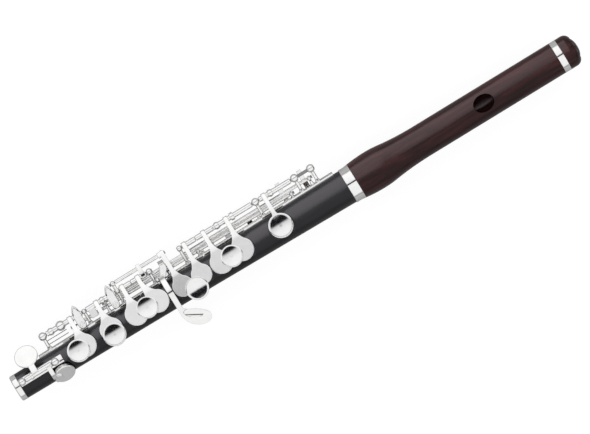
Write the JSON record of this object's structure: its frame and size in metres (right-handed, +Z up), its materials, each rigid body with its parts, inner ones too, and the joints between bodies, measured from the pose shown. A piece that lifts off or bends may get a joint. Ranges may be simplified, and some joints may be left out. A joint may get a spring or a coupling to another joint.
{
  "type": "piccolo",
  "caption": "Wooden piccolo: conical body with a silver key stack on ball posts, sliding headjoint with a bulb and waist, oval embouchure hole, turning crown with a coupled stopper.",
  "frame": {"origin": "on the bore's axis at the foot end", "axes": "+X along the bore from the foot to the crown, +Y to the player's side where the key steels lie, +Z up through the row of pad cups and the embouchure hole"},
  "size_m": [0.3215, 0.0422, 0.0264],
  "materials": {
    "grenadilla": "oiled black wood, satin",
    "rosewood": "oiled dark red-brown wood, satin, long streaks",
    "silver": "polished silver",
    "steel": "drawn steel",
    "cork": "greased cork",
    "pad_skin": "translucent skin over felt"
  },
  "bodies": {
    "body": {"body_tube": "grenadilla", "foot_ring": "silver", "socket_ring": "silver", "long_strap": "silver", "foot_strap": "silver", "thumb_strap": "silver", "stack_posts": "silver", "small_posts": "silver", "foot_posts": "silver", "thumb_posts": "silver", "pivot_screws": "steel", "steel_lower_stack": "steel", "steel_upper_stack": "steel", "steel_g_sharp": "steel", "steel_foot_key": "steel", "steel_thumb_keys": "steel", "needle_springs": "steel"},
    "headjoint": {"head_tube": "rosewood", "head_tenon": "silver", "tenon_cork": "cork", "head_ring": "silver"},
    "crown": {"crown": "rosewood", "crown_screw": "steel"},
    "stopper": {"stopper_cork": "cork", "stopper_plates": "silver"},
    "key_d_body": {"key_d": "silver", "pad_d": "pad_skin", "touch_d": "silver"},
    "key_e_body": {"key_e": "silver", "pad_e": "pad_skin", "touch_e": "silver"},
    "key_f_body": {"key_f": "silver", "pad_f": "pad_skin", "touch_f": "silver"},
    "key_f_sharp_body": {"key_f_sharp": "silver", "pad_f_sharp": "pad_skin"},
    "key_g_lower_body": {"key_g_lower": "silver", "pad_g_lower": "pad_skin"},
    "key_g_upper_body": {"key_g_upper": "silver", "pad_g_upper": "pad_skin", "touch_g_upper": "silver"},
    "key_a_body": {"key_a": "silver", "pad_a": "pad_skin", "touch_a": "silver"},
    "key_b_flat_body": {"key_b_flat": "silver", "pad_b_flat": "pad_skin"},
    "key_c_body": {"key_c": "silver", "pad_c": "pad_skin"},
    "key_d_sharp_body": {"key_d_sharp": "silver", "pad_d_sharp": "pad_skin"},
    "key_g_sharp_body": {"key_g_sharp": "silver", "pad_g_sharp": "pad_skin"},
    "key_trill_1_body": {"key_trill_1": "silver", "pad_trill_1": "pad_skin"},
    "key_trill_2_body": {"key_trill_2": "silver", "pad_trill_2": "pad_skin"},
    "key_thumb_b_body": {"key_thumb_b": "silver", "pad_thumb": "pad_skin"},
    "lever_b_flat_body": {"lever_b_flat": "silver"}
  },
  "joints": [
    {"name": "headjoint_slide", "type": "slide", "parent": "body", "child": "headjoint", "axis": [1, 0, 0], "range_m": [0, 0.006]},
    {"name": "crown_turn", "type": "hinge", "parent": "headjoint", "child": "crown", "pos_m": [0.3175, 0, 0], "axis": [1, 0, 0], "range_deg": [-270, 270]},
    {"name": "stopper_travel", "type": "slide", "parent": "headjoint", "child": "stopper", "axis": [1, 0, 0], "range_m": [-0.00075, 0.00075]},
    {"name": "press_d", "type": "hinge", "parent": "body", "child": "key_d_body", "pos_m": [0.0404, 0.0151, 0.00378], "axis": [1, 0, 0], "range_deg": [0, 7.21], "stiffness_Nm_per_rad": 0.01, "springref_deg": -34.38},
    {"name": "press_e", "type": "hinge", "parent": "body", "child": "key_e_body", "pos_m": [0.0555, 0.0151, 0.00378], "axis": [1, 0, 0], "range_deg": [0, 7.21], "stiffness_Nm_per_rad": 0.01, "springref_deg": -34.38},
    {"name": "press_f", "type": "hinge", "parent": "body", "child": "key_f_body", "pos_m": [0.0703, 0.0151, 0.00378], "axis": [1, 0, 0], "range_deg": [0, 7.21], "stiffness_Nm_per_rad": 0.01, "springref_deg": -34.38},
    {"name": "press_f_sharp", "type": "hinge", "parent": "body", "child": "key_f_sharp_body", "pos_m": [0.0792, 0.0151, 0.00378], "axis": [1, 0, 0], "range_deg": [0, 7.21], "stiffness_Nm_per_rad": 0.01, "springref_deg": -34.38},
    {"name": "press_g_lower", "type": "hinge", "parent": "body", "child": "key_g_lower_body", "pos_m": [0.0937, 0.0193, 0.00483], "axis": [1, 0, 0], "range_deg": [0, 5.64], "stiffness_Nm_per_rad": 0.01, "springref_deg": -34.38},
    {"name": "press_g_upper", "type": "hinge", "parent": "body", "child": "key_g_upper_body", "pos_m": [0.1069, 0.017, 0.00425], "axis": [1, 0, 0], "range_deg": [0, 6.4], "stiffness_Nm_per_rad": 0.01, "springref_deg": -34.38},
    {"name": "press_a", "type": "hinge", "parent": "body", "child": "key_a_body", "pos_m": [0.1179, 0.017, 0.00425], "axis": [1, 0, 0], "range_deg": [0, 6.4], "stiffness_Nm_per_rad": 0.01, "springref_deg": -34.38},
    {"name": "press_b_flat", "type": "hinge", "parent": "body", "child": "key_b_flat_body", "pos_m": [0.1308, 0.017, 0.00425], "axis": [1, 0, 0], "range_deg": [0, 6.4], "stiffness_Nm_per_rad": 0.01, "springref_deg": -34.38},
    {"name": "press_c", "type": "hinge", "parent": "body", "child": "key_c_body", "pos_m": [0.1525, 0.017, 0.00425], "axis": [1, 0, 0], "range_deg": [0, 6.4], "stiffness_Nm_per_rad": 0.01, "springref_deg": -34.38},
    {"name": "press_d_sharp", "type": "hinge", "parent": "body", "child": "key_d_sharp_body", "pos_m": [0.0127, 0.0015, 0.0103], "axis": [-1, 0, 0], "range_deg": [0, 8], "stiffness_Nm_per_rad": 0.01, "springref_deg": -34.38},
    {"name": "press_g_sharp", "type": "hinge", "parent": "body", "child": "key_g_sharp_body", "pos_m": [0.0905, 0.0094, 0.0052], "axis": [1, 0, 0], "range_deg": [0, 8], "stiffness_Nm_per_rad": 0.01, "springref_deg": -34.38},
    {"name": "press_trill_1", "type": "hinge", "parent": "body", "child": "key_trill_1_body", "pos_m": [0.0635, 0.0134, 0.001], "axis": [1, 0, 0], "range_deg": [0, 8], "stiffness_Nm_per_rad": 0.01, "springref_deg": -34.38},
    {"name": "press_trill_2", "type": "hinge", "parent": "body", "child": "key_trill_2_body", "pos_m": [0.0445, 0.0114, -0.0012], "axis": [1, 0, 0], "range_deg": [0, 8], "stiffness_Nm_per_rad": 0.01, "springref_deg": -34.38},
    {"name": "press_thumb_b", "type": "hinge", "parent": "body", "child": "key_thumb_b_body", "pos_m": [0.132, 0.012, -0.005], "axis": [-1, 0, 0], "range_deg": [0, 4.8], "stiffness_Nm_per_rad": 0.01, "springref_deg": -34.38},
    {"name": "press_b_flat_lever", "type": "hinge", "parent": "body", "child": "lever_b_flat_body", "pos_m": [0.118, 0.012, -0.005], "axis": [-1, 0, 0], "range_deg": [0, 4.8], "stiffness_Nm_per_rad": 0.01, "springref_deg": -34.38}
  ],
  "couplings": [
    {"joint": "crown_turn", "follows": "stopper_travel", "rad_per_m": 6283.2},
    {"joint": "press_f_sharp", "follows": "press_f", "ratio": 1},
    {"joint": "press_b_flat", "follows": "press_a", "ratio": 1},
    {"joint": "press_g_lower", "follows": "press_g_upper", "ratio": 0.88083}
  ]
}
